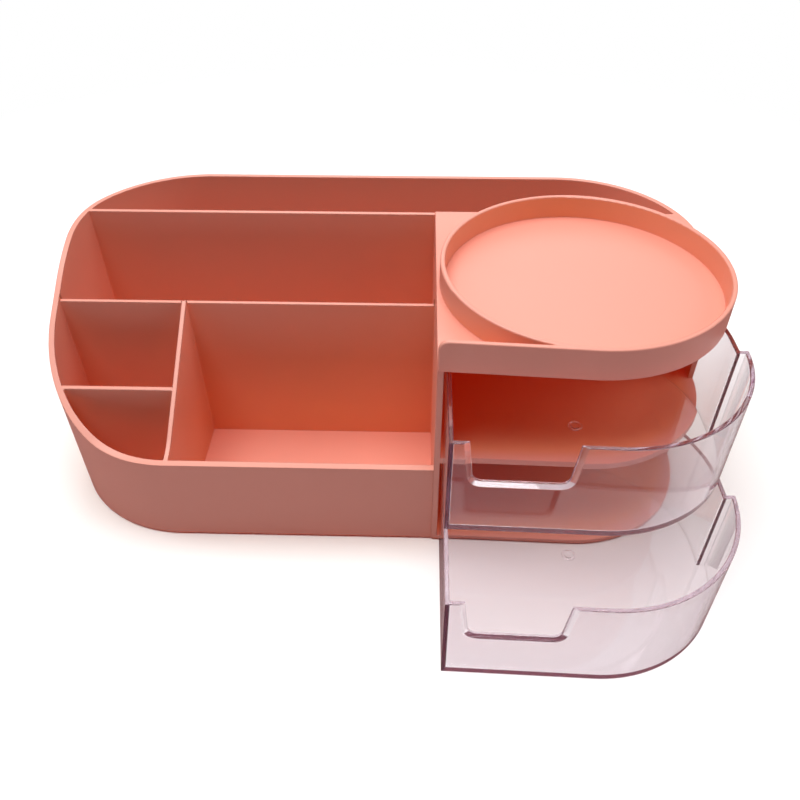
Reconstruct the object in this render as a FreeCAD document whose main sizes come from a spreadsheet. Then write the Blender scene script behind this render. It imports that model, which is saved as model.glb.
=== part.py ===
import FreeCAD
import Part

import math
import os

import Sketcher

# Desk organizer: one moulded body with five open wells, a round tray on a deck and two
# drawer bays below it, two clear drawers that slide out of the bays, and four foot pads.
#
# Frame: X along the length, Y from front to back, Z up from the desk top.
# The origin is on the desk, under the middle of the body's rounded rectangle.

doc = FreeCAD.newDocument("desk_organizer")

# ---------------------------------------------------------------- driving dimensions (mm)

SIZES = [
    # outer form
    ("body_length", 288.0, "left end to right end"),
    ("body_depth", 152.0, "front plane of the housing to the rear wall"),
    ("corner_radius", 58.0, "rounded corners of the outline"),
    ("outer_wall", 2.4, "outer walls"),
    ("floor_thickness", 2.0, "floor of wells and lower bay"),
    ("foot_stand", 1.0, "body's underside above the desk"),
    # low front and S-shaped rim at the left
    ("front_wall_height", 43.0, "low front wall above the underside"),
    ("front_wall", 2.8, "low front wall"),
    ("front_wall_recess", 0.8, "low front wall behind the housing's front plane"),
    ("slope_start", 0.0, "rim starts to rise, behind the front plane"),
    ("slope_end", 124.0, "rim is level again, behind the front plane"),
    ("slope_low_radius", 23.0, "lower bend of the S"),
    ("slope_top_radius", 95.0, "upper bend of the S"),
    # wells
    ("divider_wall", 1.8, "dividers between wells"),
    ("middle_divider_setback", 66.0, "front plane to the middle divider's front face"),
    ("middle_divider_height", 79.4, "middle divider above the underside"),
    ("short_divider_setback", 30.7, "front plane to the short divider's front face"),
    ("short_divider_height", 58.6, "short divider above the underside"),
    ("wide_well_width", 110.5, "wide well, from the bay wall to the cross divider"),
    ("well_round", 0.5, "upright inner corners of the wells"),
    # drawer housing with round tray
    ("bay_wall", 2.4, "wall between wells and bays"),
    ("bay_height", 46.0, "clear height of each bay"),
    ("bay_corner_inset", 3.0, "round front corner of floor and shelf inside the tray's ring"),
    ("bay_front_rise", 0.2, "how far the bay wall's front edge is behind the front plane"),
    ("shelf_thickness", 2.8, "shelf between the bays"),
    ("deck_thickness", 3.0, "deck over the upper bay"),
    ("tray_radius", 58.4, "outside of the tray's ring"),
    ("tray_wall", 2.0, "tray's ring and front lip"),
    ("tray_rim_height", 10.4, "ring and lip above the deck"),
    ("tray_bulge", 4.6, "ring in front of the front plane"),
    ("tray_margin", 1.2, "ring to the bay wall's outer face"),
    ("tray_rear_margin", 2.2, "ring to the rear divider's back face"),
    ("lip_front_lead", 0.9, "lip's left end in front of the front plane"),
    ("lip_corner_radius", 4.0, "upper left corner of the lip"),
    ("rim_round", 0.6, "rounded upper edges of the body"),
    # drawers
    ("drawer_wall", 1.7, "walls and floor of a drawer"),
    ("drawer_side_gap", 1.0, "drawer to the bay wall"),
    ("drawer_floor_gap", 0.3, "drawer over its floor or shelf"),
    ("drawer_top_gap", 1.7, "drawer's rim under the shelf or deck"),
    ("drawer_rear_gap", 2.8, "closed drawer to the bay's rear wall"),
    ("drawer_post_gap", 1.0, "closed drawer's shoulder to the housing's side post"),
    ("drawer_flank_gap", 1.4, "drawer's rear part to the housing's side wall"),
    ("drawer_arc_inset", 0.4, "drawer's round corner inside the shelf's"),
    ("drawer_front_setback", 0.6, "drawer's left front corner behind the front plane"),
    ("drawer_rear_radius", 50.0, "rear right corner"),
    ("drawer_small_radius", 3.0, "rear left corner"),
    ("drawer_rim_bevel", 0.3, "broken upper edges of a drawer"),
    ("notch_offset", 7.0, "finger notch from the drawer's left side"),
    ("notch_width", 37.0, "finger notch at the rim"),
    ("notch_depth", 18.6, "finger notch below the rim"),
    ("notch_taper", 2.0, "how far each side of the notch leans in"),
    ("notch_round", 3.5, "lower corners of the notch"),
    ("notch_bevel_width", 2.0, "bevel round the notch, seen from the front"),
    ("notch_bevel_depth", 0.9, "bevel round the notch, into the wall"),
    ("gate_radius", 1.6, "gate mark in a drawer's floor"),
    ("gate_height", 0.4, "gate mark above the floor"),
    ("upper_drawer_out", 36.7, "upper drawer pulled out at rest"),
    ("lower_drawer_out", 65.7, "lower drawer pulled out at rest"),
    # foot pads
    ("foot_radius", 6.0, "foot pad"),
    ("foot_recess", 0.6, "foot pad let into the underside"),
    ("foot_gap", 0.2, "foot pad to the wall of its recess"),
    ("foot_inset", 34.0, "foot pad's middle from the outline's sides"),
    ("foot_edge_bevel", 0.3, "broken lower edge of a foot pad"),
]

sizes = doc.addObject("Spreadsheet::Sheet", "Sizes")
for row, (alias, number, note) in enumerate(SIZES, start=1):
    sizes.set(f"A{row}", alias)
    sizes.set(f"B{row}", str(number))
    sizes.set(f"C{row}", note)
    sizes.setAlias(f"B{row}", alias)
doc.recompute()


def value(expression):
    """Number that an expression on the sheet gives."""
    return float(sizes.evalExpression(expression))


# ---------------------------------------------------------------- places worked out from the sizes

RIGHT = "Sizes.body_length / 2"
LEFT = "-Sizes.body_length / 2"
FRONT = "-Sizes.body_depth / 2"
REAR = "Sizes.body_depth / 2"
HOUSING_WIDTH = "(2 * Sizes.tray_radius + Sizes.tray_margin)"
BAY_LEFT = f"({RIGHT} - {HOUSING_WIDTH})"
BAY_INSIDE = f"({BAY_LEFT} + Sizes.bay_wall)"
TRAY_X = f"({RIGHT} - Sizes.tray_radius)"
TRAY_Y = f"({FRONT} - Sizes.tray_bulge + Sizes.tray_radius)"
POST_Y = TRAY_Y
REAR_DIVIDER_BACK = f"({TRAY_Y} + Sizes.tray_radius + Sizes.tray_rear_margin)"
REAR_DIVIDER_FRONT = f"({REAR_DIVIDER_BACK} - Sizes.divider_wall)"
MIDDLE_DIVIDER_FRONT = f"({FRONT} + Sizes.middle_divider_setback)"
MIDDLE_DIVIDER_BACK = f"({MIDDLE_DIVIDER_FRONT} + Sizes.divider_wall)"
SHORT_DIVIDER_FRONT = f"({FRONT} + Sizes.short_divider_setback)"
SHORT_DIVIDER_BACK = f"({SHORT_DIVIDER_FRONT} + Sizes.divider_wall)"
CROSS_DIVIDER_RIGHT = f"({BAY_LEFT} - Sizes.wide_well_width)"
CROSS_DIVIDER_LEFT = f"({CROSS_DIVIDER_RIGHT} - Sizes.divider_wall)"
LOW_WALL_FRONT = f"({FRONT} + Sizes.front_wall_recess)"
SIDE_STRAIGHT = f"(max({LOW_WALL_FRONT} + Sizes.corner_radius; {POST_Y}) + Sizes.outer_wall)"

UNDERSIDE = "Sizes.foot_stand"
FLOOR_TOP = f"({UNDERSIDE} + Sizes.floor_thickness)"
SHELF_BOTTOM = f"({FLOOR_TOP} + Sizes.bay_height)"
SHELF_TOP = f"({SHELF_BOTTOM} + Sizes.shelf_thickness)"
DECK_BOTTOM = f"({SHELF_TOP} + Sizes.bay_height)"
DECK_TOP = f"({DECK_BOTTOM} + Sizes.deck_thickness)"
RIM_TOP = f"({DECK_TOP} + Sizes.tray_rim_height)"
LOW_WALL_TOP = f"({UNDERSIDE} + Sizes.front_wall_height)"

CLEAR = 5.0    # how far cutting solids reach past what they cut


# ---------------------------------------------------------------- helpers for sketches and solids

def point(x, y):
    """Sketch point from two expressions."""
    return FreeCAD.Vector(value(x), value(y), 0)


def fix(sketch, kind, geometry, position, expression):
    """Measure a point from the sketch's origin by an expression."""
    number = sketch.addConstraint(
        Sketcher.Constraint(kind, -1, 1, geometry, position, value(expression)))
    sketch.setExpression(f"Constraints[{number}]", expression)


def fix_point(sketch, geometry, position, x, y):
    fix(sketch, "DistanceX", geometry, position, x)
    fix(sketch, "DistanceY", geometry, position, y)


def fix_radius(sketch, geometry, expression):
    number = sketch.addConstraint(Sketcher.Constraint("Radius", geometry, value(expression)))
    sketch.setExpression(f"Constraints[{number}]", expression)


def add_line(sketch, start, end):
    return sketch.addGeometry(Part.LineSegment(start, end), False)


def add_arc(sketch, centre, radius, start_degrees, end_degrees):
    circle = Part.Circle(centre, FreeCAD.Vector(0, 0, 1), radius)
    arc = Part.ArcOfCircle(circle, math.radians(start_degrees), math.radians(end_degrees))
    return sketch.addGeometry(arc, False)


def join(sketch, first, first_end, second, second_end, smooth=False):
    """Join two ends, smoothly where a line runs into an arc."""
    kind = "Tangent" if smooth else "Coincident"
    sketch.addConstraint(Sketcher.Constraint(kind, first, first_end, second, second_end))


def along(sketch, kind, *geometries):
    for geometry in geometries:
        sketch.addConstraint(Sketcher.Constraint(kind, geometry))


def bind(item, **expressions):
    """Bind properties of an object to expressions on the sheet."""
    for name, expression in expressions.items():
        item.setExpression(name, expression)


def place(item, x="0", y="0", z="0"):
    item.setExpression("Placement.Base.x", x)
    item.setExpression("Placement.Base.y", y)
    item.setExpression("Placement.Base.z", z)


def box(name, x, y, z):
    """Block between two expressions along each axis."""
    block = doc.addObject("Part::Box", name)
    bind(block, Length=f"{x[1]} - {x[0]}", Width=f"{y[1]} - {y[0]}", Height=f"{z[1]} - {z[0]}")
    place(block, x[0], y[0], z[0])
    return block


def cylinder(name, radius, x, y, z):
    post = doc.addObject("Part::Cylinder", name)
    bind(post, Radius=radius, Height=f"{z[1]} - {z[0]}")
    place(post, x, y, z[0])
    return post


def extrude(name, sketch, height, direction=(0, 0, 1)):
    solid = doc.addObject("Part::Extrusion", name)
    solid.Base = sketch
    solid.DirMode = "Custom"
    solid.Dir = FreeCAD.Vector(*direction)
    solid.Solid = True
    bind(solid, LengthFwd=height)
    return solid


def fuse(name, shapes):
    solid = doc.addObject("Part::MultiFuse", name)
    solid.Shapes = shapes
    solid.Refine = True
    return solid


def common(name, base, tool):
    solid = doc.addObject("Part::Common", name)
    solid.Base = base
    solid.Tool = tool
    return solid


def cut(name, base, tool):
    solid = doc.addObject("Part::Cut", name)
    solid.Base = base
    solid.Tool = tool
    solid.Refine = True
    return solid


def round_edges(name, base, radius, wanted):
    """Fillet the edges of a solid for which wanted(edge) is true."""
    doc.recompute()
    size = value(radius)
    picked = [number for number, edge in enumerate(base.Shape.Edges, start=1) if wanted(edge)]
    solid = doc.addObject("Part::Fillet", name)
    solid.Base = base
    solid.Edges = [(number, size, size) for number in picked]
    return solid


TOUCH = 1e-4    # how near two places count as the same, for picking edges


def edge_points(edge):
    """Start, middle and end of an edge."""
    first, last = edge.ParameterRange
    return [edge.valueAt(first), edge.valueAt((first + last) / 2), edge.valueAt(last)]


def lies_at_height(edge, height):
    return all(abs(spot.z - height) < TOUCH for spot in edge_points(edge))


def is_upright(edge):
    start, _, end = edge_points(edge)
    return abs(start.x - end.x) < TOUCH and abs(start.y - end.y) < TOUCH


def runs_front_to_back(edge):
    start, _, end = edge_points(edge)
    return abs(start.x - end.x) < TOUCH and abs(start.z - end.z) < TOUCH


# ---------------------------------------------------------------- body: outer form

def rounded_rectangle(name, left, right, front, rear, radius):
    """Sketch of a rectangle with four equal round corners."""
    sketch = doc.addObject("Sketcher::SketchObject", name)
    x0, x1, y0, y1, bend = (value(text) for text in (left, right, front, rear, radius))
    vector = FreeCAD.Vector
    front_line = add_line(sketch, vector(x0 + bend, y0, 0), vector(x1 - bend, y0, 0))
    front_right = add_arc(sketch, vector(x1 - bend, y0 + bend, 0), bend, 270, 360)
    right_line = add_line(sketch, vector(x1, y0 + bend, 0), vector(x1, y1 - bend, 0))
    rear_right = add_arc(sketch, vector(x1 - bend, y1 - bend, 0), bend, 0, 90)
    rear_line = add_line(sketch, vector(x1 - bend, y1, 0), vector(x0 + bend, y1, 0))
    rear_left = add_arc(sketch, vector(x0 + bend, y1 - bend, 0), bend, 90, 180)
    left_line = add_line(sketch, vector(x0, y1 - bend, 0), vector(x0, y0 + bend, 0))
    front_left = add_arc(sketch, vector(x0 + bend, y0 + bend, 0), bend, 180, 270)
    ring = [front_line, front_right, right_line, rear_right,
            rear_line, rear_left, left_line, front_left]
    for current, following in zip(ring, ring[1:] + ring[:1]):
        join(sketch, current, 2, following, 1, smooth=True)
    along(sketch, "Horizontal", front_line, rear_line)
    along(sketch, "Vertical", right_line, left_line)
    for corner in (front_right, rear_right, rear_left, front_left):
        fix_radius(sketch, corner, radius)
    fix(sketch, "DistanceX", left_line, 1, left)
    fix(sketch, "DistanceX", right_line, 1, right)
    fix(sketch, "DistanceY", front_line, 1, front)
    fix(sketch, "DistanceY", rear_line, 1, rear)
    return sketch


# The storage part is a rounded rectangle, cut off at the bay wall's front stretch.
storage_outline = rounded_rectangle(
    "storage_outline", LEFT, RIGHT, LOW_WALL_FRONT, REAR, "Sizes.corner_radius")
storage_form = extrude("storage_form", storage_outline, f"{DECK_TOP} - {UNDERSIDE}")
place(storage_form, z=UNDERSIDE)

# The drawer housing has its own front: nearly straight, then round to the right side.
BAY_CORNER = "(Sizes.tray_radius - Sizes.bay_corner_inset)"
BAY_CENTRE_X = f"({RIGHT} - {BAY_CORNER})"


def tangent_front(left_x, left_y, centre_x, centre_y, radius):
    """Where a line from the left end touches the round corner, in sketch numbers."""
    across = value(centre_x) - value(left_x)
    up = value(centre_y) - value(left_y)
    reach = math.hypot(across, up)
    turn = math.atan2(up, across) - math.asin(value(radius) / reach)
    length = math.sqrt(reach ** 2 - value(radius) ** 2)
    touch_x = value(left_x) + length * math.cos(turn)
    touch_y = value(left_y) + length * math.sin(turn)
    return touch_x, touch_y


def housing_outline(name, left_y, centre_x, radius, rear):
    """Sketch of the housing from the bay wall's outer face to the right side."""
    sketch = doc.addObject("Sketcher::SketchObject", name)
    vector = FreeCAD.Vector
    touch_x, touch_y = tangent_front(BAY_LEFT, left_y, centre_x, POST_Y, radius)
    start = math.degrees(math.atan2(touch_y - value(POST_Y), touch_x - value(centre_x)))
    front = add_line(sketch, point(BAY_LEFT, left_y), vector(touch_x, touch_y, 0))
    corner = add_arc(sketch, point(centre_x, POST_Y), value(radius), start, 0)
    side = add_line(sketch, point(RIGHT, POST_Y), point(RIGHT, rear))
    back = add_line(sketch, point(RIGHT, rear), point(BAY_LEFT, rear))
    left = add_line(sketch, point(BAY_LEFT, rear), point(BAY_LEFT, left_y))
    join(sketch, front, 2, corner, 1, smooth=True)
    join(sketch, corner, 2, side, 1, smooth=True)
    join(sketch, side, 2, back, 1)
    join(sketch, back, 2, left, 1)
    join(sketch, left, 2, front, 1)
    along(sketch, "Vertical", side)
    along(sketch, "Horizontal", back)
    fix_point(sketch, front, 1, BAY_LEFT, left_y)
    fix_point(sketch, corner, 3, centre_x, POST_Y)
    fix_radius(sketch, corner, radius)
    fix_point(sketch, left, 1, BAY_LEFT, rear)
    return sketch


bay_outline = housing_outline(
    "bay_outline", f"({FRONT} + Sizes.bay_front_rise)", BAY_CENTRE_X, BAY_CORNER, SIDE_STRAIGHT)
bay_form = extrude("bay_form", bay_outline, f"{DECK_TOP} - {UNDERSIDE}")
place(bay_form, z=UNDERSIDE)

# The housing replaces the storage part's own front right corner.
housing_room = box(
    "housing_room", (BAY_LEFT, f"({RIGHT} + {CLEAR})"), (f"({FRONT} - {CLEAR})", SIDE_STRAIGHT),
    (f"({UNDERSIDE} - {CLEAR})", f"({DECK_TOP} + {CLEAR})"))
storage_block = cut("storage_block", storage_form, housing_room)

# Deck edge and lip: a front that runs as a tangent into the tray's ring.
lip_outline = housing_outline(
    "lip_outline", f"({FRONT} - Sizes.lip_front_lead)", TRAY_X, "Sizes.tray_radius", SIDE_STRAIGHT)
lip_form = extrude("lip_form", lip_outline, f"{RIM_TOP} - {DECK_BOTTOM}")
place(lip_form, z=DECK_BOTTOM)
tray_form = cylinder("tray_form", "Sizes.tray_radius", TRAY_X, TRAY_Y, (DECK_BOTTOM, RIM_TOP))

outer_form = fuse("outer_form", [storage_block, bay_form, lip_form, tray_form])

# Above the deck only the ring and the lip in front of it stand up.
lip_room_outline = housing_outline(
    "lip_room_outline", f"({FRONT} - Sizes.lip_front_lead + Sizes.tray_wall)", TRAY_X,
    "(Sizes.tray_radius - Sizes.tray_wall)", REAR_DIVIDER_BACK)
lip_room_block = extrude("lip_room_block", lip_room_outline, f"{RIM_TOP} - {DECK_TOP} + {CLEAR}")
place(lip_room_block, z=DECK_TOP)
ring_outside = cylinder(
    "ring_outside", "Sizes.tray_radius", TRAY_X, TRAY_Y, (DECK_BOTTOM, f"({RIM_TOP} + 2 * {CLEAR})"))
ring_rear_room = box(
    "ring_rear_room", (BAY_LEFT, f"({RIGHT} + {CLEAR})"), (POST_Y, REAR_DIVIDER_BACK),
    (DECK_TOP, f"({RIM_TOP} + {CLEAR})"))
around_ring = fuse("around_ring", [lip_room_block, ring_rear_room])
lip_room = cut("lip_room", around_ring, ring_outside)
tray_well = cylinder(
    "tray_well", "(Sizes.tray_radius - Sizes.tray_wall)", TRAY_X, TRAY_Y,
    (DECK_TOP, f"({RIM_TOP} + {CLEAR})"))

# ---------------------------------------------------------------- body: wells

# Each well is a core: the inside of the outer walls, boxed in by the dividers around it, with
# its upright edges rounded.
well_outline = rounded_rectangle(
    "well_outline", f"({LEFT} + Sizes.outer_wall)", f"({RIGHT} - Sizes.outer_wall)",
    f"({LOW_WALL_FRONT} + Sizes.front_wall)", f"({REAR} - Sizes.outer_wall)",
    "(Sizes.corner_radius - Sizes.outer_wall)")
well_form = extrude("well_form", well_outline, f"{RIM_TOP} - {FLOOR_TOP}")
place(well_form, z=FLOOR_TOP)

FAR_LEFT = f"({LEFT} - {CLEAR})"
FAR_RIGHT = f"({RIGHT} + {CLEAR})"
FAR_FRONT = f"({FRONT} - Sizes.tray_bulge - {CLEAR})"
FAR_REAR = f"({REAR} + {CLEAR})"
WELL_HEIGHT = (f"({FLOOR_TOP} - {CLEAR})", f"({DECK_TOP} + {CLEAR})")

WELLS = {
    "rear_well": ((FAR_LEFT, FAR_RIGHT), (REAR_DIVIDER_BACK, FAR_REAR)),
    "long_well": ((FAR_LEFT, BAY_LEFT), (MIDDLE_DIVIDER_BACK, REAR_DIVIDER_FRONT)),
    "wide_well": ((CROSS_DIVIDER_RIGHT, BAY_LEFT), (FAR_FRONT, MIDDLE_DIVIDER_FRONT)),
    "small_rear_well": ((FAR_LEFT, CROSS_DIVIDER_LEFT),
                        (SHORT_DIVIDER_BACK, MIDDLE_DIVIDER_FRONT)),
    "small_front_well": ((FAR_LEFT, CROSS_DIVIDER_LEFT), (FAR_FRONT, SHORT_DIVIDER_FRONT)),
}


well_cores = []
for name, (x, y) in WELLS.items():
    room = box(f"{name}_room", x, y, WELL_HEIGHT)
    core = common(f"{name}_core", well_form, room)
    well_cores.append(round_edges(name, core, "Sizes.well_round", is_upright))

# The rim falls in an S, and the middle and the short divider are level on top.
LEVEL_DIVIDERS = {
    "middle_divider": ((FAR_LEFT, BAY_LEFT), (MIDDLE_DIVIDER_FRONT, MIDDLE_DIVIDER_BACK),
                       f"({UNDERSIDE} + Sizes.middle_divider_height)"),
    "short_divider": ((FAR_LEFT, CROSS_DIVIDER_LEFT), (SHORT_DIVIDER_FRONT, SHORT_DIVIDER_BACK),
                      f"({UNDERSIDE} + Sizes.short_divider_height)"),
}

divider_rooms = []
for name, (x, y, top) in LEVEL_DIVIDERS.items():
    above = box(f"{name}_above", x, y, (top, f"({DECK_TOP} + {CLEAR})"))
    divider_rooms.append(common(f"{name}_room", well_form, above))

# ---------------------------------------------------------------- body: drawer bays

# Behind the side post the bays follow the inside of the outer wall; in front of it they are
# open to the front and to the right.
bay_inner_outline = rounded_rectangle(
    "bay_inner_outline", f"({LEFT} + Sizes.outer_wall)", f"({RIGHT} - Sizes.outer_wall)",
    f"({FRONT} - Sizes.body_depth)", f"({REAR} - Sizes.outer_wall)",
    "(Sizes.corner_radius - Sizes.outer_wall)")
bay_inner_form = extrude("bay_inner_form", bay_inner_outline, f"{DECK_TOP} - {UNDERSIDE}")
place(bay_inner_form, z=UNDERSIDE)

bay_cores = []
for name, height in (("lower_bay", (FLOOR_TOP, SHELF_BOTTOM)), ("upper_bay", (SHELF_TOP, DECK_BOTTOM))):
    back_room = box(f"{name}_back_room", (BAY_INSIDE, FAR_RIGHT), (POST_Y, REAR_DIVIDER_FRONT), height)
    back = common(f"{name}_back", bay_inner_form, back_room)
    mouth = box(f"{name}_mouth", (BAY_INSIDE, FAR_RIGHT), (FAR_FRONT, POST_Y), height)
    bay_cores.append(fuse(name, [back, mouth]))

# ---------------------------------------------------------------- body: S-shaped rim at the left

slope_sketch = doc.addObject("Sketcher::SketchObject", "slope_profile")
SLOPE_START = f"({FRONT} + Sizes.slope_start)"
SLOPE_END = f"({FRONT} + Sizes.slope_end)"
LOW_CENTRE = f"({LOW_WALL_TOP} + Sizes.slope_low_radius)"
TOP_CENTRE = f"({DECK_TOP} - Sizes.slope_top_radius)"
ABOVE = f"({RIM_TOP} + {CLEAR})"

span = value(SLOPE_END) - value(SLOPE_START)
drop = value(TOP_CENTRE) - value(LOW_CENTRE)
both_radii = value("Sizes.slope_low_radius + Sizes.slope_top_radius")
slope_angle = math.atan2(drop, span) + math.asin(both_radii / math.hypot(span, drop))
slope_degrees = math.degrees(slope_angle)


def on_bend(centre_y, centre_z, radius, side):
    """Point of a bend where the straight slope touches it."""
    return FreeCAD.Vector(
        value(centre_y) + side * value(radius) * math.sin(slope_angle),
        value(centre_z) - side * value(radius) * math.cos(slope_angle), 0)


low_rim = add_line(slope_sketch, point(FAR_FRONT, LOW_WALL_TOP), point(SLOPE_START, LOW_WALL_TOP))
low_bend = add_arc(slope_sketch, point(SLOPE_START, LOW_CENTRE), value("Sizes.slope_low_radius"),
                   -90, slope_degrees - 90)
ramp = add_line(slope_sketch,
                on_bend(SLOPE_START, LOW_CENTRE, "Sizes.slope_low_radius", 1),
                on_bend(SLOPE_END, TOP_CENTRE, "Sizes.slope_top_radius", -1))
top_bend = add_arc(slope_sketch, point(SLOPE_END, TOP_CENTRE), value("Sizes.slope_top_radius"),
                   90, slope_degrees + 90)
rise = add_line(slope_sketch, point(SLOPE_END, DECK_TOP), point(SLOPE_END, ABOVE))
ceiling = add_line(slope_sketch, point(SLOPE_END, ABOVE), point(FAR_FRONT, ABOVE))
descent = add_line(slope_sketch, point(FAR_FRONT, ABOVE), point(FAR_FRONT, LOW_WALL_TOP))
join(slope_sketch, low_rim, 2, low_bend, 1, smooth=True)
join(slope_sketch, low_bend, 2, ramp, 1, smooth=True)
join(slope_sketch, ramp, 2, top_bend, 2, smooth=True)
join(slope_sketch, top_bend, 1, rise, 1)
join(slope_sketch, rise, 2, ceiling, 1)
join(slope_sketch, ceiling, 2, descent, 1)
join(slope_sketch, descent, 2, low_rim, 1)
along(slope_sketch, "Vertical", rise, descent)
along(slope_sketch, "Horizontal", low_rim, ceiling)
fix_point(slope_sketch, low_rim, 1, FAR_FRONT, LOW_WALL_TOP)
fix(slope_sketch, "DistanceX", low_bend, 3, SLOPE_START)
fix_radius(slope_sketch, low_bend, "Sizes.slope_low_radius")
fix_point(slope_sketch, top_bend, 3, SLOPE_END, TOP_CENTRE)
fix_radius(slope_sketch, top_bend, "Sizes.slope_top_radius")
fix(slope_sketch, "DistanceX", top_bend, 1, SLOPE_END)
fix(slope_sketch, "DistanceY", ceiling, 1, ABOVE)

# The profile stands in the YZ plane.
slope_sketch.Placement = FreeCAD.Placement(
    FreeCAD.Vector(0, 0, 0), FreeCAD.Rotation(FreeCAD.Vector(1, 1, 1), 120))
slope_room = extrude("slope_room", slope_sketch, f"{BAY_LEFT} - {FAR_LEFT}", direction=(1, 0, 0))
place(slope_room, x=FAR_LEFT)

# ---------------------------------------------------------------- body: assembly of the form

FOOT_PLACES = {
    "foot_front_left": (f"({LEFT} + Sizes.foot_inset)", f"({FRONT} + Sizes.foot_inset)"),
    "foot_front_right": (f"({RIGHT} - Sizes.foot_inset)", f"({FRONT} + Sizes.foot_inset)"),
    "foot_rear_left": (f"({LEFT} + Sizes.foot_inset)", f"({REAR} - Sizes.foot_inset)"),
    "foot_rear_right": (f"({RIGHT} - Sizes.foot_inset)", f"({REAR} - Sizes.foot_inset)"),
}
FOOT_TOP = f"({UNDERSIDE} + Sizes.foot_recess)"

foot_recesses = [
    cylinder(f"{name}_recess", "(Sizes.foot_radius + Sizes.foot_gap)", x, y, ("0", FOOT_TOP))
    for name, (x, y) in FOOT_PLACES.items()]

hollows = fuse("hollows", [lip_room, tray_well, slope_room] + well_cores + divider_rooms
               + bay_cores + foot_recesses)
hollow_body = cut("hollow_body", outer_form, hollows)


def is_lip_corner(edge):
    """Upper left corner of the lip, an edge that runs from front to back."""
    spots = edge_points(edge)
    at_left = all(abs(spot.x - value(BAY_LEFT)) < TOUCH for spot in spots)
    return at_left and lies_at_height(edge, value(RIM_TOP))


lipped_body = round_edges("lipped_body", hollow_body, "Sizes.lip_corner_radius", is_lip_corner)


def is_upper_rim(edge):
    """Long upper edges of the ring and the lip, not the lip's short end."""
    return lies_at_height(edge, value(RIM_TOP)) and edge.Length > value("2 * Sizes.tray_wall")


organizer_body = round_edges("organizer_body", lipped_body, "Sizes.rim_round", is_upper_rim)
organizer_body.Label = "organizer_body"

# ---------------------------------------------------------------- drawers

# A drawer has a frame of its own: its left side at X = 0, the housing's front plane at Y = 0
# when it is closed, and its underside at Z = 0.
DRAWER_LEFT = f"({BAY_INSIDE} + Sizes.drawer_side_gap)"
ARC_X = f"({BAY_CENTRE_X} - {DRAWER_LEFT})"
ARC_Y = f"({POST_Y} - {FRONT})"
ARC_RADIUS = f"({BAY_CORNER} - Sizes.drawer_arc_inset)"
SHOULDER_Y = f"({ARC_Y} - Sizes.drawer_post_gap)"
FLANK_X = f"({RIGHT} - Sizes.outer_wall - Sizes.drawer_flank_gap - {DRAWER_LEFT})"
BACK_Y = f"({REAR_DIVIDER_FRONT} - Sizes.drawer_rear_gap - {FRONT})"
DRAWER_HEIGHT = "(Sizes.bay_height - Sizes.drawer_floor_gap - Sizes.drawer_top_gap)"


def body_sketch(body, name, plane):
    """Sketch on one of a body's own origin planes."""
    sketch = body.newObject("Sketcher::SketchObject", name)
    origin_plane = next(item for item in body.Origin.OriginFeatures if item.Role == plane)
    sketch.AttachmentSupport = [(origin_plane, "")]
    sketch.MapMode = "FlatFace"
    return sketch


def draw_drawer_outline(sketch):
    """Straight left side, slightly slanted front, large round corner up to the shoulder, and a
    narrower rear part whose right corner is round as well."""
    vector = FreeCAD.Vector
    radius = value(ARC_RADIUS)
    touch_x, touch_y = tangent_front("0", "Sizes.drawer_front_setback", ARC_X, ARC_Y, ARC_RADIUS)
    start = math.degrees(math.atan2(touch_y - value(ARC_Y), touch_x - value(ARC_X)))
    shoulder_turn = math.degrees(math.asin((value(SHOULDER_Y) - value(ARC_Y)) / radius))
    shoulder_x = value(ARC_X) + radius * math.cos(math.radians(shoulder_turn))
    rear_radius = value("Sizes.drawer_rear_radius")
    small_radius = value("Sizes.drawer_small_radius")
    flank = value(FLANK_X)
    back = value(BACK_Y)

    front = add_line(sketch, vector(0, value("Sizes.drawer_front_setback"), 0),
                     vector(touch_x, touch_y, 0))
    corner = add_arc(sketch, point(ARC_X, ARC_Y), radius, start, shoulder_turn)
    shoulder = add_line(sketch, vector(shoulder_x, value(SHOULDER_Y), 0), point(FLANK_X, SHOULDER_Y))
    side = add_line(sketch, point(FLANK_X, SHOULDER_Y), vector(flank, back - rear_radius, 0))
    rear_corner = add_arc(sketch, vector(flank - rear_radius, back - rear_radius, 0),
                          rear_radius, 0, 90)
    rear = add_line(sketch, vector(flank - rear_radius, back, 0), vector(small_radius, back, 0))
    left_corner = add_arc(sketch, vector(small_radius, back - small_radius, 0),
                          small_radius, 90, 180)
    left = add_line(sketch, vector(0, back - small_radius, 0),
                    vector(0, value("Sizes.drawer_front_setback"), 0))

    join(sketch, front, 2, corner, 1, smooth=True)
    join(sketch, corner, 2, shoulder, 1)
    join(sketch, shoulder, 2, side, 1)
    join(sketch, side, 2, rear_corner, 1, smooth=True)
    join(sketch, rear_corner, 2, rear, 1, smooth=True)
    join(sketch, rear, 2, left_corner, 1, smooth=True)
    join(sketch, left_corner, 2, left, 1, smooth=True)
    join(sketch, left, 2, front, 1)
    along(sketch, "Horizontal", shoulder, rear)
    along(sketch, "Vertical", side, left)
    fix_point(sketch, front, 1, "0", "Sizes.drawer_front_setback")
    fix_point(sketch, corner, 3, ARC_X, ARC_Y)
    fix_radius(sketch, corner, ARC_RADIUS)
    fix_point(sketch, shoulder, 2, FLANK_X, SHOULDER_Y)
    fix_radius(sketch, rear_corner, "Sizes.drawer_rear_radius")
    fix_radius(sketch, left_corner, "Sizes.drawer_small_radius")
    fix(sketch, "DistanceY", rear, 2, BACK_Y)


NOTCH_LEFT = "Sizes.notch_offset"
NOTCH_RIGHT = "(Sizes.notch_offset + Sizes.notch_width)"
NOTCH_FLOOR = f"({DRAWER_HEIGHT} - Sizes.notch_depth)"
NOTCH_TOP = f"({DRAWER_HEIGHT} + Sizes.notch_depth)"
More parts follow.
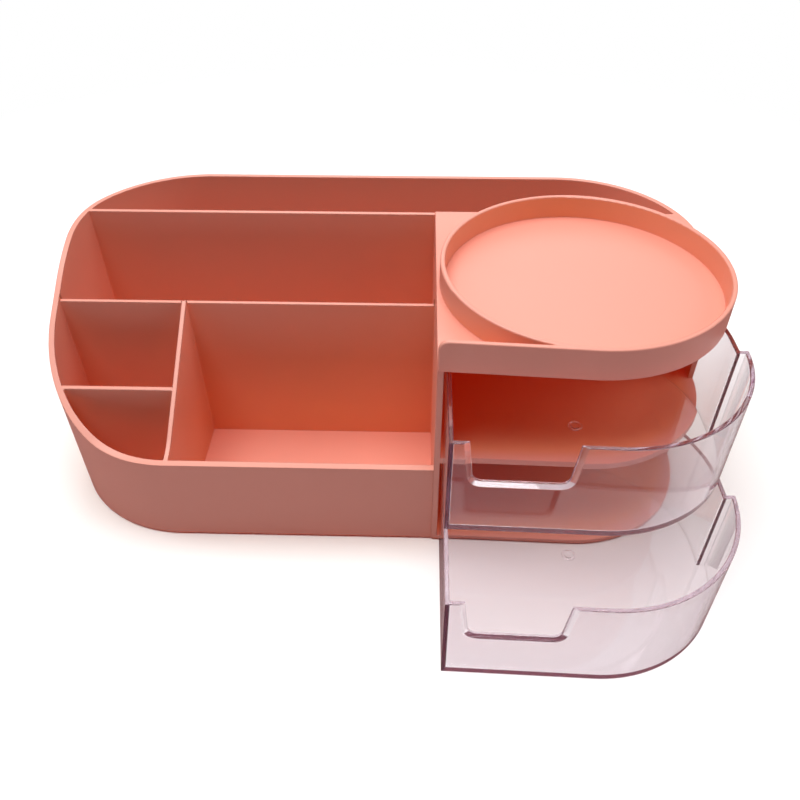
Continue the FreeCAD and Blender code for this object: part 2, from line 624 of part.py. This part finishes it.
# The sides keep their lean above the rim, as far as they go below it.
NOTCH_FLOOR_LEFT = f"({NOTCH_LEFT} + Sizes.notch_taper)"
NOTCH_FLOOR_RIGHT = f"({NOTCH_RIGHT} - Sizes.notch_taper)"
NOTCH_TOP_LEFT = f"({NOTCH_LEFT} - Sizes.notch_taper)"
NOTCH_TOP_RIGHT = f"({NOTCH_RIGHT} + Sizes.notch_taper)"


def draw_notch(sketch):
    """Finger notch: sides that lean in and a flat floor."""
    corners = [(NOTCH_TOP_LEFT, NOTCH_TOP), (NOTCH_FLOOR_LEFT, NOTCH_FLOOR),
               (NOTCH_FLOOR_RIGHT, NOTCH_FLOOR), (NOTCH_TOP_RIGHT, NOTCH_TOP)]
    lines = [add_line(sketch, point(*start), point(*end))
             for start, end in zip(corners, corners[1:] + corners[:1])]
    for current, following in zip(lines, lines[1:] + lines[:1]):
        join(sketch, current, 2, following, 1)
    for line, (x, y) in zip(lines, corners):
        fix_point(sketch, line, 1, x, y)


def is_notch_front(edge):
    """Edge of the notch in the front wall's outer face."""
    touch_x, touch_y = tangent_front("0", "Sizes.drawer_front_setback", ARC_X, ARC_Y, ARC_RADIUS)
    start_y = value("Sizes.drawer_front_setback")
    lean = (touch_y - start_y) / touch_x
    spots = edge_points(edge)
    in_face = all(abs(spot.y - start_y - lean * spot.x) < TOUCH for spot in spots)
    in_notch = all(value(NOTCH_LEFT) - TOUCH < spot.x < value(NOTCH_RIGHT) + TOUCH for spot in spots)
    return in_face and in_notch and edge.CenterOfMass.z > value(NOTCH_FLOOR) - TOUCH


# The gate mark is in the middle of the floor.
GATE_X = f"({FLANK_X} / 2)"
GATE_Y = f"({BACK_Y} / 2)"


def make_drawer(name, pulled_out, stands_on):
    body = doc.addObject("PartDesign::Body", name)
    body.Label = name
    place(body, DRAWER_LEFT, f"{FRONT} - {pulled_out}", f"{stands_on} + Sizes.drawer_floor_gap")

    outline = body_sketch(body, f"{name}_outline", "XY_Plane")
    draw_drawer_outline(outline)
    block = body.newObject("PartDesign::Pad", f"{name}_block")
    block.Profile = outline
    bind(block, Length=DRAWER_HEIGHT)
    doc.recompute()

    height = value(DRAWER_HEIGHT)
    top = next(number for number, face in enumerate(block.Shape.Faces, start=1)
               if all(abs(corner.Z - height) < TOUCH for corner in face.Vertexes))
    shell = body.newObject("PartDesign::Thickness", f"{name}_shell")
    shell.Base = (block, [f"Face{top}"])
    shell.Reversed = True
    shell.Join = "Intersection"
    bind(shell, Value="Sizes.drawer_wall")
    doc.recompute()

    notch_sketch = body_sketch(body, f"{name}_notch_profile", "XZ_Plane")
    draw_notch(notch_sketch)
    notch = body.newObject("PartDesign::Pocket", f"{name}_notch")
    notch.Profile = notch_sketch
    notch.Midplane = True
    bind(notch, Length=f"2 * ({CLEAR} + Sizes.drawer_wall)")
    doc.recompute()

    corners = [f"Edge{number}" for number, edge in enumerate(notch.Shape.Edges, start=1)
               if runs_front_to_back(edge) and lies_at_height(edge, value(NOTCH_FLOOR))]
    soft_notch = body.newObject("PartDesign::Fillet", f"{name}_notch_corners")
    soft_notch.Base = (notch, corners)
    bind(soft_notch, Radius="Sizes.notch_round")
    doc.recompute()
    outline_in_front = [f"Edge{number}" for number, edge in enumerate(soft_notch.Shape.Edges, start=1)
                        if is_notch_front(edge)]
    bevelled_notch = body.newObject("PartDesign::Chamfer", f"{name}_notch_bevel")
    bevelled_notch.Base = (soft_notch, outline_in_front)
    bevelled_notch.ChamferType = "Two distances"
    bind(bevelled_notch, Size="Sizes.notch_bevel_width", Size2="Sizes.notch_bevel_depth")
    doc.recompute()
    rim = [f"Edge{number}" for number, edge in enumerate(bevelled_notch.Shape.Edges, start=1)
           if lies_at_height(edge, height) and edge.Length > value("2 * Sizes.drawer_wall")]
    broken_rim = body.newObject("PartDesign::Chamfer", f"{name}_rim")
    broken_rim.Base = (bevelled_notch, rim)
    bind(broken_rim, Size="Sizes.drawer_rim_bevel")
    doc.recompute()

    gate_sketch = body_sketch(body, f"{name}_gate_profile", "XY_Plane")
    gate_ring = gate_sketch.addGeometry(
        Part.Circle(FreeCAD.Vector(value(GATE_X), value(GATE_Y), 0), FreeCAD.Vector(0, 0, 1),
                    value("Sizes.gate_radius")), False)
    fix_point(gate_sketch, gate_ring, 3, GATE_X, GATE_Y)
    fix_radius(gate_sketch, gate_ring, "Sizes.gate_radius")
    gate = body.newObject("PartDesign::Pad", f"{name}_gate")
    gate.Profile = gate_sketch
    bind(gate, Length="Sizes.drawer_wall + Sizes.gate_height")
    body.Tip = gate
    doc.recompute()
    return body


upper_drawer = make_drawer("upper_drawer", "Sizes.upper_drawer_out", SHELF_TOP)
lower_drawer = make_drawer("lower_drawer", "Sizes.lower_drawer_out", FLOOR_TOP)

# ---------------------------------------------------------------- foot pads

foot_pads = []
for name, (x, y) in FOOT_PLACES.items():
    pad = doc.addObject("PartDesign::Body", name)
    pad.Label = name
    place(pad, x, y)
    disc_sketch = body_sketch(pad, f"{name}_outline", "XY_Plane")
    disc_ring = disc_sketch.addGeometry(
        Part.Circle(FreeCAD.Vector(0, 0, 0), FreeCAD.Vector(0, 0, 1), value("Sizes.foot_radius")),
        False)
    disc_sketch.addConstraint(Sketcher.Constraint("Coincident", disc_ring, 3, -1, 1))
    fix_radius(disc_sketch, disc_ring, "Sizes.foot_radius")
    disc = pad.newObject("PartDesign::Pad", f"{name}_disc")
    disc.Profile = disc_sketch
    bind(disc, Length=FOOT_TOP)
    doc.recompute()
    lower_edge = [f"Edge{number}" for number, edge in enumerate(disc.Shape.Edges, start=1)
                  if lies_at_height(edge, 0)]
    broken_disc = pad.newObject("PartDesign::Chamfer", f"{name}_edge")
    broken_disc.Base = (disc, lower_edge)
    bind(broken_disc, Size="Sizes.foot_edge_bevel")
    foot_pads.append(pad)

# ---------------------------------------------------------------- check and write

doc.recompute()
failed = [item.Name for item in doc.Objects
          if "Invalid" in item.State or "Error" in item.State]
if failed:
    raise RuntimeError(f"objects not made: {failed}")

os.makedirs("parts", exist_ok=True)
for item in [organizer_body, upper_drawer, lower_drawer] + foot_pads:
    shape = item.Shape
    if shape.isNull() or not shape.isValid():
        raise RuntimeError(f"{item.Label} has no valid shape")
    shape.exportStep(f"parts/{item.Label}.step")
    limits = shape.optimalBoundingBox()
    print(item.Label, len(shape.Solids), "solid", round(shape.Volume / 1000, 2), "cm3",
          f"X {limits.XMin:.1f} to {limits.XMax:.1f}",
          f"Y {limits.YMin:.1f} to {limits.YMax:.1f}",
          f"Z {limits.ZMin:.1f} to {limits.ZMax:.1f}")
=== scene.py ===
# %% [markdown]
# # A desk organizer with two clear drawers
# The real object is one coral plastic moulding with open wells, a round tray on top and a
# housing at the right. Two clear drawers slide in the housing, and four pads stand below.
# The solid shapes come ready made from the frame, in metres, so this lesson gives them their
# finishes, sets them on a studio floor and looks at them with a camera.

# %% Load the frame
import math

import bpy
from mathutils import Euler, Matrix, Vector


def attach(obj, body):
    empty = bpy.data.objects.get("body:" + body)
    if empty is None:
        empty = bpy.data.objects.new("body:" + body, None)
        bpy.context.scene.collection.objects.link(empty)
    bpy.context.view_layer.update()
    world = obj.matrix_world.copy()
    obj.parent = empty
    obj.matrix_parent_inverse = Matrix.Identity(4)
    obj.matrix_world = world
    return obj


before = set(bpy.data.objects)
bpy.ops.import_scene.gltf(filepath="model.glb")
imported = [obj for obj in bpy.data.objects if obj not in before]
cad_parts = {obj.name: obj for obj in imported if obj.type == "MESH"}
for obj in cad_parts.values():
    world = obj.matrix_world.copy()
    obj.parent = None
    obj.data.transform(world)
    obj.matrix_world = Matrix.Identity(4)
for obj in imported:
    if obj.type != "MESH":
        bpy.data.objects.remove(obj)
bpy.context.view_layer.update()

MM = 0.001
print("pieces of the frame:", ", ".join(sorted(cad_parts)))

# %% [markdown]
# ## The camera
# A camera needs a place, a direction and a lens. It stands in front of the organizer, a
# little to the right of the middle, and looks down by 41 degrees. The lens is given in
# millimetres for a sensor 36 mm wide: a short lens so near the object makes its front look
# larger than its rear.

# %% Set up the camera
CAMERA_PLACE = Vector((18.64, -294.27, 275.31)) * MM
LOOK_DOWN = math.radians(41.38)
TURN_LEFT = math.radians(1.655)
TILT = math.radians(-0.186)
SENSOR_WIDTH = 36.0
LENS = 34.82
NEAREST = 0.01

upright = math.pi / 2
aim = Euler((upright - LOOK_DOWN, 0.0, TURN_LEFT)).to_matrix().to_4x4()
camera_data = bpy.data.cameras.new("studio_camera")
camera_data.sensor_width = SENSOR_WIDTH
camera_data.lens = LENS
camera_data.clip_start = NEAREST
camera = bpy.data.objects.new("studio_camera", camera_data)
camera.matrix_world = Matrix.Translation(CAMERA_PLACE) @ aim @ Matrix.Rotation(TILT, 4, "Z")
bpy.context.scene.collection.objects.link(camera)
bpy.context.scene.camera = camera
print("camera stands", [round(value / MM) for value in camera.location], "mm from the origin")

# %% [markdown]
# ## Writing shaders as sums
# A material in Blender is a graph of nodes. Wiring it by hand in Python is long, so a small
# class wraps one output of a node. Adding or multiplying two wrapped outputs then adds the
# Math node that does it, and the graph reads like a formula. A colour must not pass a Math
# node, which would turn it grey, so colours are blended by Mix nodes.


# %% A socket that can be calculated with
class Signal:
    """One output of a node. Python's + - * on it add Math nodes."""

    def __init__(self, paint, socket):
        self.paint = paint
        self.socket = socket

    def _math(self, operation, first, second):
        return self.paint.math(operation, first, second)

    def __add__(self, other):
        return self._math("ADD", self, other)

    def __radd__(self, other):
        return self._math("ADD", other, self)

    def __sub__(self, other):
        return self._math("SUBTRACT", self, other)

    def __rsub__(self, other):
        return self._math("SUBTRACT", other, self)

    def __mul__(self, other):
        return self._math("MULTIPLY", self, other)

    def __rmul__(self, other):
        return self._math("MULTIPLY", other, self)


# %% A material as a sheet of paint
class Paint:
    """The nodes of one material, or of the world, and the one way to add to them."""

    def __init__(self, owner, output_kind="ShaderNodeOutputMaterial"):
        self.owner = owner
        self.owner.use_nodes = True
        self.tree = self.owner.node_tree
        self.tree.nodes.clear()
        self.output = self.tree.nodes.new(output_kind)

    def node(self, kind, settings=None, inputs=None, output=0):
        """Add a node, set it up, feed its sockets and return one of its outputs."""
        made = self.tree.nodes.new(kind)
        for name, value in (settings or {}).items():
            setattr(made, name, value)
        for name, value in (inputs or {}).items():
            socket = made.inputs[name]
            if isinstance(value, Signal):
                self.tree.links.new(value.socket, socket)
            else:
                socket.default_value = value
        return Signal(self, made.outputs[output])

    def math(self, operation, first, second=0.0):
        """A Math node for what Python's signs don't cover."""
        return self.node("ShaderNodeMath", {"operation": operation}, {0: first, 1: second})

    def blend(self, factor, first, second):
        """Blend two colours by a number from 0 to 1."""
        settings = {"data_type": "RGBA"}
        return self.node("ShaderNodeMix", settings, {0: factor, 6: first, 7: second}, output=2)

    def noise(self, grains_per_metre, detail=2.0):
        """Smooth random grey that keeps its size on the object."""
        place = self.node("ShaderNodeTexCoord", output=3)
        inputs = {"Vector": place, "Scale": grains_per_metre, "Detail": detail}
        return self.node("ShaderNodeTexNoise", None, inputs)

    def ray_is(self, kind):
        """1 for one kind of ray and 0 for every other."""
        return self.node("ShaderNodeLightPath", output=f"Is {kind} Ray")

    def choose(self, factor, first, second):
        """The first shader where the factor is 0, the second where it is 1."""
        return self.node("ShaderNodeMixShader", None, {0: factor, 1: first, 2: second})

    def finish(self, surface, volume=None):
        """Wire the finished shader to the output."""
        self.tree.links.new(surface.socket, self.output.inputs["Surface"])
        if volume is not None:
            self.tree.links.new(volume.socket, self.output.inputs["Volume"])
        return self.owner


def new_paint(name):
    return Paint(bpy.data.materials.new(name))


# %% [markdown]
# ## The coral moulding
# The body is dyed plastic with a satin skin. Its colour is nearly even: only a faint
# cloudiness from the moulding varies it. Fine grain in the mould's steel gives the skin a
# soft gloss. Every edge of a real moulding is a little round and catches the light, so the
# Bevel node bends the normals near each edge.
#
# Thin dyed plastic also lets red light through. A subsurface shader could follow that light,
# but it is slow and noisy in thin walls. Here the Light Path node tells the kinds of ray
# apart. A shadow ray passes the walls and is dyed deep red, which makes the dim wells and the
# drawer bay glow. A diffuse ray, which carries light from wall to wall, meets a warmer coral.
# Inside the bays light goes from wall to wall so often that blue is nearly gone. That bounced
# light is
# painted: the walls there get a warmer base colour, a painted glow, which fades out towards the
# open front.

# %% Choose the coral's colours and skin
CORAL = (0.76, 0.318, 0.245, 1.0)
CORAL_DEEP = (0.74, 0.310, 0.234, 1.0)
# painted bounce light: a warmer base colour stands in for light bounced between the bay walls
CORAL_PAINTED_BOUNCE = (0.84, 0.325, 0.165, 1.0)
CORAL_GLOW = (0.97, 0.04, 0.0, 1.0)
GLOW_SHARE = 0.12
CLOUDS_PER_METRE = 14.0
SKIN_GRAINS_PER_METRE = 2600.0
SKIN_GRAIN_DEPTH = 0.1 * MM
SKIN_GRAIN_STRENGTH = 0.06
CORAL_EDGE = 0.7 * MM
SATIN_ROUGHNESS = 0.36
CLOUDY_ROUGHNESS = 0.08
BEVEL_SAMPLES = 4
CORAL_BOUNCE = (0.77, 0.295, 0.06, 1.0)
CORAL_THROUGH = (0.34, 0.01, 0.0, 1.0)


# %% Find the walls inside the drawer bays, which get painted bounce light
BAY_LEFT = 27.2 * MM
BAY_REAR = 37.5 * MM
BAY_BOTTOM = 2.0 * MM
BAY_TOP = 99.3 * MM
CORNER_X = 87.1 * MM
CORNER_Y = -20.5 * MM
FADE_FROM = 50.0 * MM
FADE_TO = 55.2 * MM


def painted_bounce_share(paint):
    """Share of the painted bounce light: 1 on the walls inside the drawer bays, and 0 on the
    rest of the moulding.
    """
    place = paint.node("ShaderNodeTexCoord", output=3)
    x, y, z = [paint.node("ShaderNodeSeparateXYZ", None, {0: place}, output=axis)
               for axis in range(3)]
    inside = (paint.math("GREATER_THAN", x, BAY_LEFT) * paint.math("LESS_THAN", y, BAY_REAR)
              * paint.math("GREATER_THAN", z, BAY_BOTTOM) * paint.math("LESS_THAN", z, BAY_TOP))
    past_x = paint.math("MAXIMUM", x - CORNER_X, 0.0)
    past_y = paint.math("MAXIMUM", CORNER_Y - y, 0.0)
    reach = paint.math("SQRT", past_x * past_x + past_y * past_y)
    fade = paint.node("ShaderNodeMapRange", None, {
        "Value": reach,
        "From Min": FADE_FROM,
        "From Max": FADE_TO,
        "To Min": 1.0,
        "To Max": 0.0,
    })
    return inside * fade


# %% Make the coral plastic
def coral_plastic():
    paint = new_paint("satin_coral_plastic")
    clouds = paint.noise(CLOUDS_PER_METRE)
    grain = paint.noise(SKIN_GRAINS_PER_METRE, detail=3.0)
    edge = paint.node("ShaderNodeBevel", {"samples": BEVEL_SAMPLES}, {"Radius": CORAL_EDGE})
    bump = paint.node("ShaderNodeBump", None, {
        "Strength": SKIN_GRAIN_STRENGTH,
        "Distance": SKIN_GRAIN_DEPTH,
        "Height": grain,
        "Normal": edge,
    })
    dye = paint.blend(clouds, CORAL, CORAL_DEEP)
    surface = paint.node("ShaderNodeBsdfPrincipled", None, {
        # painted bounce light: the bay walls get a warmer base colour, fading out towards the
        # open front
        "Base Color": paint.blend(painted_bounce_share(paint), dye, CORAL_PAINTED_BOUNCE),
        "Roughness": SATIN_ROUGHNESS + CLOUDY_ROUGHNESS * clouds,
        "Normal": bump,
    })
    glow = paint.node("ShaderNodeBsdfTranslucent", None, {"Color": CORAL_GLOW})
    seen = paint.choose(GLOW_SHARE, surface, glow)
    between_walls = paint.node("ShaderNodeBsdfDiffuse", None, {"Color": CORAL_BOUNCE})
    through = paint.node("ShaderNodeBsdfTransparent", None, {"Color": CORAL_THROUGH})
    lit = paint.choose(paint.ray_is("Diffuse"), seen, between_walls)
    return paint.finish(paint.choose(paint.ray_is("Shadow"), lit, through))


coral = coral_plastic()
print("made", coral.name, "with", len(coral.node_tree.nodes), "nodes")

# %% [markdown]
# ## The clear drawers
# A clear drawer is injection moulded polystyrene. Its walls let nearly all light through, but
# seen along its length a wall is a long way through tinted plastic, and it looks plum dark.
# A Volume Absorption shader inside the solid does just that, so no edge has to be painted.
# A very small share of a plum Diffuse shader is the haze of real plastic: it keeps the dark
# edges from going black. Shadow rays and diffuse rays meet a plain Transparent shader, which
# lights the floor below the drawers without the noise of caustics.

# %% Choose the clear plastic's tint and skin
PLUM_HAZE = (0.66, 0.28, 0.36, 1.0)
HAZE_SHARE = 0.018
CLEAR_SHADE = (0.985, 0.977, 0.981, 1.0)
CLEAR_TINT = (0.98, 0.97, 0.985, 1.0)
CLEAR_ROUGHNESS = 0.02
CLEAR_IOR = 1.5
PLUM_DEEP = (0.33, 0.0, 0.22, 1.0)
PLUM_DENSITY = 8.0
RIPPLES_PER_METRE = 22.0
RIPPLE_DEPTH = 1.0 * MM
RIPPLE_STRENGTH = 0.04
CLEAR_EDGE = 0.4 * MM


# %% Make the clear plastic
def clear_plastic():
    paint = new_paint("clear_lilac_plastic")
    ripple = paint.noise(RIPPLES_PER_METRE)
    edge = paint.node("ShaderNodeBevel", {"samples": BEVEL_SAMPLES}, {"Radius": CLEAR_EDGE})
    bump = paint.node("ShaderNodeBump", None, {
        "Strength": RIPPLE_STRENGTH,
        "Distance": RIPPLE_DEPTH,
        "Height": ripple,
        "Normal": edge,
    })
    glassy = paint.node("ShaderNodeBsdfPrincipled", None, {
        "Base Color": CLEAR_TINT,
        "Roughness": CLEAR_ROUGHNESS,
        "IOR": CLEAR_IOR,
        "Transmission Weight": 1.0,
        "Normal": bump,
    })
    haze = paint.node("ShaderNodeBsdfDiffuse", None, {"Color": PLUM_HAZE})
    shade = paint.node("ShaderNodeBsdfTransparent", None, {"Color": CLEAR_SHADE})
    surface = paint.choose(HAZE_SHARE, glassy, haze)
    lit = paint.choose(paint.ray_is("Diffuse"), surface, shade)
    see = paint.choose(paint.ray_is("Shadow"), lit, shade)
    inside = paint.node("ShaderNodeVolumeAbsorption", None,
                        {"Color": PLUM_DEEP, "Density": PLUM_DENSITY})
    return paint.finish(see, inside)


clear = clear_plastic()
print("made", clear.name, "with", len(clear.node_tree.nodes), "nodes")

# %% [markdown]
# ## The pads
# Four pads of soft pale rubber keep the organizer from sliding. Rubber is matt, with a fine
# dull grain. A plain colour would look like plastic, so one noise varies the colour and the
# roughness and bumps the surface, all in step, as real grain does.

# %% Make the pad rubber
RUBBER_DULL = (0.62, 0.60, 0.57, 1.0)
RUBBER_PALE = (0.70, 0.68, 0.65, 1.0)
RUBBER_GRAINS_PER_METRE = 1800.0
RUBBER_GRAIN_DEPTH = 0.1 * MM
RUBBER_GRAIN_STRENGTH = 0.2
MATT_ROUGHNESS = 0.75
GRAINY_ROUGHNESS = 0.1


def pad_rubber():
    paint = new_paint("pale_pad_rubber")
    grain = paint.noise(RUBBER_GRAINS_PER_METRE, detail=4.0)
    bump = paint.node("ShaderNodeBump", None, {
        "Strength": RUBBER_GRAIN_STRENGTH,
        "Distance": RUBBER_GRAIN_DEPTH,
        "Height": grain,
    })
    surface = paint.node("ShaderNodeBsdfPrincipled", None, {
        "Base Color": paint.blend(grain, RUBBER_DULL, RUBBER_PALE),
        "Roughness": MATT_ROUGHNESS + GRAINY_ROUGHNESS * grain,
        "Normal": bump,
    })
    return paint.finish(surface)


rubber = pad_rubber()
print("made", rubber.name, "with", len(rubber.node_tree.nodes), "nodes")

# %% Put the finishes on the pieces
FINISHES = {"organizer_body": coral, "upper_drawer": clear, "lower_drawer": clear}
for name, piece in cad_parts.items():
    finish = FINISHES.get(name, rubber)
    piece.data.materials.clear()
    piece.data.materials.append(finish)
    print(name, "is", finish.name)

# %% [markdown]
# ## The gate rings
# Where the plastic was shot into the mould, a drawer's floor keeps a small round mark with a
# raised ring round it. A bump in the material could hint at the ring, but a real torus of the
# same clear plastic bends the light as the ring does.

# %% Set a ring round each gate mark
GATE_PLACES = {"upper_drawer": (84.8, -57.8, 53.8), "lower_drawer": (84.8, -86.8, 5.0)}
RING_RADIUS = 2.6 * MM
RING_THICKNESS = 0.36 * MM
RING_LIFT = 0.4 * MM
RING_ROWS = 40
RING_SIDES = 12


def ring_mesh(name):
    """A torus: rows of corners round the middle, with a quad between each two neighbours."""
    corners = []
    faces = []
    for row in range(RING_ROWS):
        turn = 2.0 * math.pi * row / RING_ROWS
        next_row = (row + 1) % RING_ROWS
        for side in range(RING_SIDES):
            tilt = 2.0 * math.pi * side / RING_SIDES
            next_side = (side + 1) % RING_SIDES
            reach = RING_RADIUS + RING_THICKNESS * math.cos(tilt)
            corners.append((reach * math.cos(turn), reach * math.sin(turn),
                            RING_THICKNESS * math.sin(tilt)))
            faces.append((row * RING_SIDES + side, next_row * RING_SIDES + side,
                          next_row * RING_SIDES + next_side, row * RING_SIDES + next_side))
    mesh = bpy.data.meshes.new(name)
    mesh.from_pydata(corners, [], faces)
    mesh.shade_smooth()
    mesh.materials.append(clear)
    return mesh


def gate_ring(drawer, place):
    name = f"{drawer}_gate_ring"
    ring = bpy.data.objects.new(name, ring_mesh(name))
    ring.location = Vector(place) * MM + Vector((0.0, 0.0, RING_LIFT))
    bpy.context.scene.collection.objects.link(ring)
    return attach(ring, f"{drawer}_body")


for drawer, place in GATE_PLACES.items():
    ring = gate_ring(drawer, place)
    print(ring.name, "rides on the", drawer)

# %% [markdown]
# ## The studio
# A product picture needs a pale floor and soft light. A large lamp above gives most of it, so
# the upward faces are the brightest. Weaker lamps at the rear and at both sides keep the
# shadows soft. The floor is small, and the pale world behind it has the same white, so no
# horizon shows. Clear plastic mirrors its surroundings, and a white room would veil it. So
# reflections meet a dimmer floor and dimmer walls, again by the kind of ray.

# %% Lay the floor
FLOOR_HALF = 0.6
WHITE = (1.0, 1.0, 1.0, 1.0)
FLOOR_WHITE = (0.84, 0.84, 0.84, 1.0)
FLOOR_THROUGH = (0.725, 0.71, 0.71, 1.0)
FADE_START = 0.32
FADE_END = 0.55
FLOOR_BOUNCE = (0.69, 0.65, 0.68, 1.0)
FLOOR_MIRRORED = (0.20, 0.12, 0.12, 1.0)


def floor_paint():
    paint = new_paint("studio_floor_paint")
    place = paint.node("ShaderNodeTexCoord", output=3)
    distance = paint.node("ShaderNodeVectorMath", {"operation": "LENGTH"}, {0: place}, output=1)
    fade = paint.node("ShaderNodeMapRange", None,
                      {"Value": distance, "From Min": FADE_START, "From Max": FADE_END})
    near = paint.node("ShaderNodeBsdfDiffuse", None, {"Color": FLOOR_WHITE})
    far = paint.node("ShaderNodeEmission", None, {"Color": WHITE})
    through = paint.node("ShaderNodeBsdfDiffuse", None, {"Color": FLOOR_THROUGH})
    lighting = paint.node("ShaderNodeBsdfDiffuse", None, {"Color": FLOOR_BOUNCE})
    mirrored = paint.node("ShaderNodeBsdfDiffuse", None, {"Color": FLOOR_MIRRORED})
    reflected = paint.choose(paint.ray_is("Transmission"), mirrored, through)
    dim = paint.choose(paint.ray_is("Glossy"), through, reflected)
    plain = paint.choose(paint.ray_is("Camera"), dim, paint.choose(fade, near, far))
    return paint.finish(paint.choose(paint.ray_is("Diffuse"), plain, lighting))


def studio_floor():
    corners = [(-FLOOR_HALF, -FLOOR_HALF, 0), (FLOOR_HALF, -FLOOR_HALF, 0),
               (FLOOR_HALF, FLOOR_HALF, 0), (-FLOOR_HALF, FLOOR_HALF, 0)]
    mesh = bpy.data.meshes.new("studio_floor")
    mesh.from_pydata(corners, [], [(0, 1, 2, 3)])
    mesh.materials.append(floor_paint())
    floor = bpy.data.objects.new("studio_floor", mesh)
    bpy.context.scene.collection.objects.link(floor)
    return floor


floor = studio_floor()
print("the floor is", 2.0 * FLOOR_HALF, "m wide and isn't part of the organizer")

# %% Hang the lamps
LIT_POINT = Vector((0.0, 0.0, 0.08))
LAMPS = {
    "overhead_lamp": {"place": (-0.15, -0.05, 1.3), "width": 1.0, "watts": 21.5},
    "rear_lamp": {"place": (0.0, 1.1, 1.0), "width": 1.0, "watts": 5.8},
    "left_lamp": {"place": (-1.1, 0.0, 0.9), "width": 0.8, "watts": 4.6},
    "right_lamp": {"place": (1.1, 0.0, 0.9), "width": 0.8, "watts": 6.3},
}


def soft_lamp(name, place, width, watts):
    data = bpy.data.lights.new(name, "AREA")
    data.shape = "SQUARE"
    data.size = width
    data.energy = watts
    lamp = bpy.data.objects.new(name, data)
    stand = Vector(place)
    turn = (LIT_POINT - stand).to_track_quat("-Z", "Y").to_matrix().to_4x4()
    lamp.matrix_world = Matrix.Translation(stand) @ turn
    bpy.context.scene.collection.objects.link(lamp)
    return lamp


for name, facts in LAMPS.items():
    lamp = soft_lamp(name, **facts)
    print(lamp.name, "gives", lamp.data.energy, "W")

# %% Light the world
PALE_LIGHT = 1.0
FILL_LIGHT = 0.0
MIRRORED_WALLS = (0.62, 0.50, 0.58, 1.0)
MIRRORED_LIGHT = 0.12


def studio_world():
    paint = Paint(bpy.data.worlds.new("studio_world"), "ShaderNodeOutputWorld")
    fill = paint.node("ShaderNodeBackground", None, {"Color": WHITE, "Strength": FILL_LIGHT})
    pale = paint.node("ShaderNodeBackground", None, {"Color": WHITE, "Strength": PALE_LIGHT})
    walls = paint.node("ShaderNodeBackground", None,
                       {"Color": MIRRORED_WALLS, "Strength": MIRRORED_LIGHT})
    reflected = paint.choose(paint.ray_is("Transmission"), walls, pale)
    seen = paint.choose(paint.ray_is("Glossy"), pale, reflected)
    return paint.finish(paint.choose(paint.ray_is("Diffuse"), seen, fill))


bpy.context.scene.world = studio_world()
bpy.context.scene.view_settings.view_transform = "Standard"
print("the world is", bpy.context.scene.world.name)

# %% Let light bounce long enough inside the clear walls
CLEAR_BOUNCES = 32
SHADE_BOUNCES = 64
WALL_BOUNCES = 8
cycles = bpy.context.scene.cycles
cycles.max_bounces = CLEAR_BOUNCES
cycles.glossy_bounces = CLEAR_BOUNCES
cycles.transmission_bounces = CLEAR_BOUNCES
cycles.transparent_max_bounces = SHADE_BOUNCES
cycles.diffuse_bounces = WALL_BOUNCES
print("light may bounce", CLEAR_BOUNCES, "times in the clear walls")
